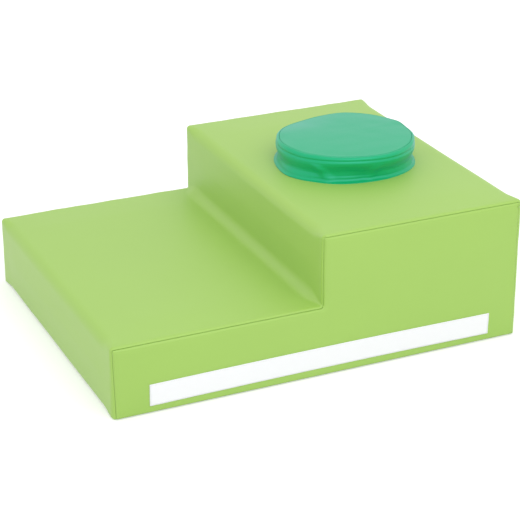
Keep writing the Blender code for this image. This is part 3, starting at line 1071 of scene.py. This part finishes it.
def sew(name, corners, surface, side, finish):
    """Rows of lockstitches between the corners of a path in the side view: each stitch is a short
    thread that rises out of the fabric and dives back into it."""
    bm = bmesh.new()
    for start, end in zip(corners, corners[1:]):
        length = (end - start).length
        count = round(length / stitch_pitch)
        along = (end - start) / length
        for number in range(count):
            rings = []
            for step in range(stitch_rings + 1):
                share = step / stitch_rings
                middle = length * (number + 0.5) / count
                place = start + along * (middle + stitch_length * (share - 0.5))
                rise = thread_radius * (sin(pi * share) * stitch_arch - stitch_bed)
                y = surface(place.x, place.y) + side * rise
                ring = []
                for turn in range(thread_sides):
                    angle = 2 * pi * turn / thread_sides
                    across = Vector((-along.y, along.x)) * thread_radius * cos(angle)
                    far = y + thread_radius * sin(angle)
                    ring.append(bm.verts.new((place.x + across.x, far, place.y + across.y)))
                rings.append(ring)
            grid_faces(bm, rings, closed=True)
            bm.faces.new(rings[0])
            bm.faces.new(rings[-1])
    bmesh.ops.recalc_face_normals(bm, faces=bm.faces)
    object_from(name, bm, finish)


def box_path(low, high, margin):
    """The corners of an upright box in the side view, a margin outside its own, and closed."""
    left, right = low.x - margin, high.x + margin
    bottom, top = low.y - margin, high.y + margin
    corners = ((left, bottom), (right, bottom), (right, top), (left, top), (left, bottom))
    return [Vector(corner) for corner in corners]


def build_stitching():
    """The stitching of the strip and of the zip's slot."""
    low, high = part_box("front_loop_strip")
    run = high.x - low.x - 2 * strip_stitch_inset
    lines = []
    for level in (low.z + strip_stitch_inset, high.z - strip_stitch_inset):
        line = []
        for step in range(strip_stitch_runs + 1):
            x = low.x + strip_stitch_inset + run * step / strip_stitch_runs
            line.append(Vector((x, level - sag_of_strip(x, low.x, high.x))))
        lines.append(line)
    path = lines[0] + lines[1][::-1] + lines[0][:1]
    sew("strip_stitches", path, lambda x, z: front_surface(x, z) - strip_rise, -1, white_thread)
    path = box_path(zip_low, zip_high, zip_stitch_offset)
    sew("zip_stitches", path, back_surface, 1, sewing_thread)


def build_zip_tape(name, node, above):
    """One woven tape of the zip, a little wavy along its free edge, behind the slot."""
    low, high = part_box(node)
    bm = bmesh.new()
    grid = []
    columns = ceil((high.x - low.x) / tape_mesh_spacing)
    for row in range(tape_rows + 1):
        share = row / tape_rows
        z = low.z + (high.z - low.z) * share
        free = share if above else 1 - share
        line = []
        for column in range(columns + 1):
            x = low.x + (high.x - low.x) * column / columns
            place = Vector((x / tape_wave_length, z / tape_wave_width, tape_wave_start))
            wave = tape_wave * free * noise.noise(place)
            line.append(bm.verts.new((x, high.y + wave - tape_wave * free, z)))
        grid.append(line)
    grid_faces(bm, grid[::-1], closed=False)
    tape = object_from(name, bm, zip_weave)
    thicken(tape, high.y - low.y)
    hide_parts(node)


build_foam("foam_slab", "foam_base_slab")
build_foam("foam_block", "foam_upper_block")
build_wrap()
build_side("cover_front", -1, "cover_front_panel")
build_side("cover_back", 1, "cover_back_panel")
build_base()
build_cushion()
build_strip()
build_stitching()
build_zip_tape("upper_zip_tape", "zip_upper_tape", True)
build_zip_tape("lower_zip_tape", "zip_lower_tape", False)

for node, finish in (
    ("zip_upper_teeth", moulded_teeth),
    ("zip_lower_teeth", moulded_teeth),
    ("zip_upper_top_stop", moulded_teeth),
    ("zip_lower_top_stop", moulded_teeth),
    ("zip_bottom_stop", moulded_teeth),
    ("zip_slider", cast_zinc),
    ("zip_pull", cast_zinc),
):
    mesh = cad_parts[node].data
    mesh.materials.clear()
    mesh.materials.append(finish)

# Camera, from the photograph's perspective
camera_azimuth = radians(-24.610)
camera_elevation = radians(24.138)
camera_place = Vector((-1.40481, -3.11350, 1.63986))
camera_lens_mm = 120.211
camera_sensor_mm = 36

camera_data = bpy.data.cameras.new("photo_camera")
camera_data.lens = camera_lens_mm
camera_data.sensor_width = camera_sensor_mm
camera = bpy.data.objects.new("photo_camera", camera_data)
bpy.context.scene.collection.objects.link(camera)
looking = Vector(
    (
        -sin(camera_azimuth) * cos(camera_elevation),
        cos(camera_azimuth) * cos(camera_elevation),
        -sin(camera_elevation),
    )
)
camera.location = camera_place
camera.rotation_mode = "QUATERNION"
camera.rotation_quaternion = looking.to_track_quat("-Z", "Y")
bpy.context.scene.camera = camera


# Studio: the light of its white walls, a white floor that glows a little to the eye, and a lamp
wall_light = 0.98
white = (1, 1, 1, 1)
floor_grey = (0.80, 0.80, 0.80, 1)
floor_glow = 0.34
floor_size = 30.0
floor_drop = 0.0004
lamp_place = (0.0, -2.6, 3.0)
lamp_aim = Vector((0, 0, 0.15))
lamp_size = 3.0
lamp_watts = 34


def seen_by(tree, *rays):
    """1 where one of the named kinds of ray meets the surface, and 0 elsewhere."""
    path = add(tree, "ShaderNodeLightPath")
    seen = path.outputs[rays[0]]
    for ray in rays[1:]:
        either = {0: seen, 1: path.outputs[ray]}
        seen = add(tree, "ShaderNodeMath", either, operation="MAXIMUM").outputs[0]
    return seen


def build_walls():
    """A white background to look at, with a plain level of light for everything else."""
    world = bpy.data.worlds.new("studio")
    bpy.context.scene.world = world
    world.use_nodes = True
    tree = world.node_tree
    tree.nodes.clear()
    seen = seen_by(tree, "Is Camera Ray", "Is Glossy Ray", "Is Transmission Ray")
    level_range = {"Value": seen, "To Min": wall_light, "To Max": 1.0}
    level = add(tree, "ShaderNodeMapRange", level_range).outputs["Result"]
    sky = add(tree, "ShaderNodeBackground", {"Color": white, "Strength": level})
    output = add(tree, "ShaderNodeOutputWorld")
    tree.links.new(sky.outputs[0], output.inputs["Surface"])


def white_floor():
    """Matt white paint, which keeps the climber's shadow and otherwise meets the background."""
    paint = bpy.data.materials.new("white_floor")
    paint.use_nodes = True
    tree = paint.node_tree
    tree.nodes.clear()
    matt = add(tree, "ShaderNodeBsdfDiffuse", {"Color": floor_grey})
    seen = seen_by(tree, "Is Camera Ray", "Is Glossy Ray")
    level = add(tree, "ShaderNodeMath", {0: seen, 1: floor_glow}, operation="MULTIPLY").outputs[0]
    glow = add(tree, "ShaderNodeEmission", {"Color": white, "Strength": level})
    both = add(tree, "ShaderNodeAddShader")
    tree.links.new(matt.outputs[0], both.inputs[0])
    tree.links.new(glow.outputs[0], both.inputs[1])
    output = add(tree, "ShaderNodeOutputMaterial")
    tree.links.new(both.outputs[0], output.inputs["Surface"])
    return paint


def build_floor():
    """The floor under the climber."""
    bm = bmesh.new()
    bmesh.ops.create_grid(bm, x_segments=1, y_segments=1, size=floor_size / 2)
    mesh = bpy.data.meshes.new("floor")
    bm.to_mesh(mesh)
    bm.free()
    mesh.materials.append(white_floor())
    floor = bpy.data.objects.new("floor", mesh)
    floor.location.z = -floor_drop
    bpy.context.scene.collection.objects.link(floor)


def soft_lamp(name, place, size, power):
    """A square area lamp that looks at the climber."""
    data = bpy.data.lights.new(name, "AREA")
    data.size = size
    data.energy = power
    lamp = bpy.data.objects.new(name, data)
    bpy.context.scene.collection.objects.link(lamp)
    lamp.location = place
    lamp.rotation_mode = "QUATERNION"
    lamp.rotation_quaternion = (lamp_aim - Vector(place)).to_track_quat("-Z", "Y")


build_walls()
build_floor()
soft_lamp("front_softbox", lamp_place, lamp_size, lamp_watts)

bpy.context.scene.view_settings.view_transform = "Standard"
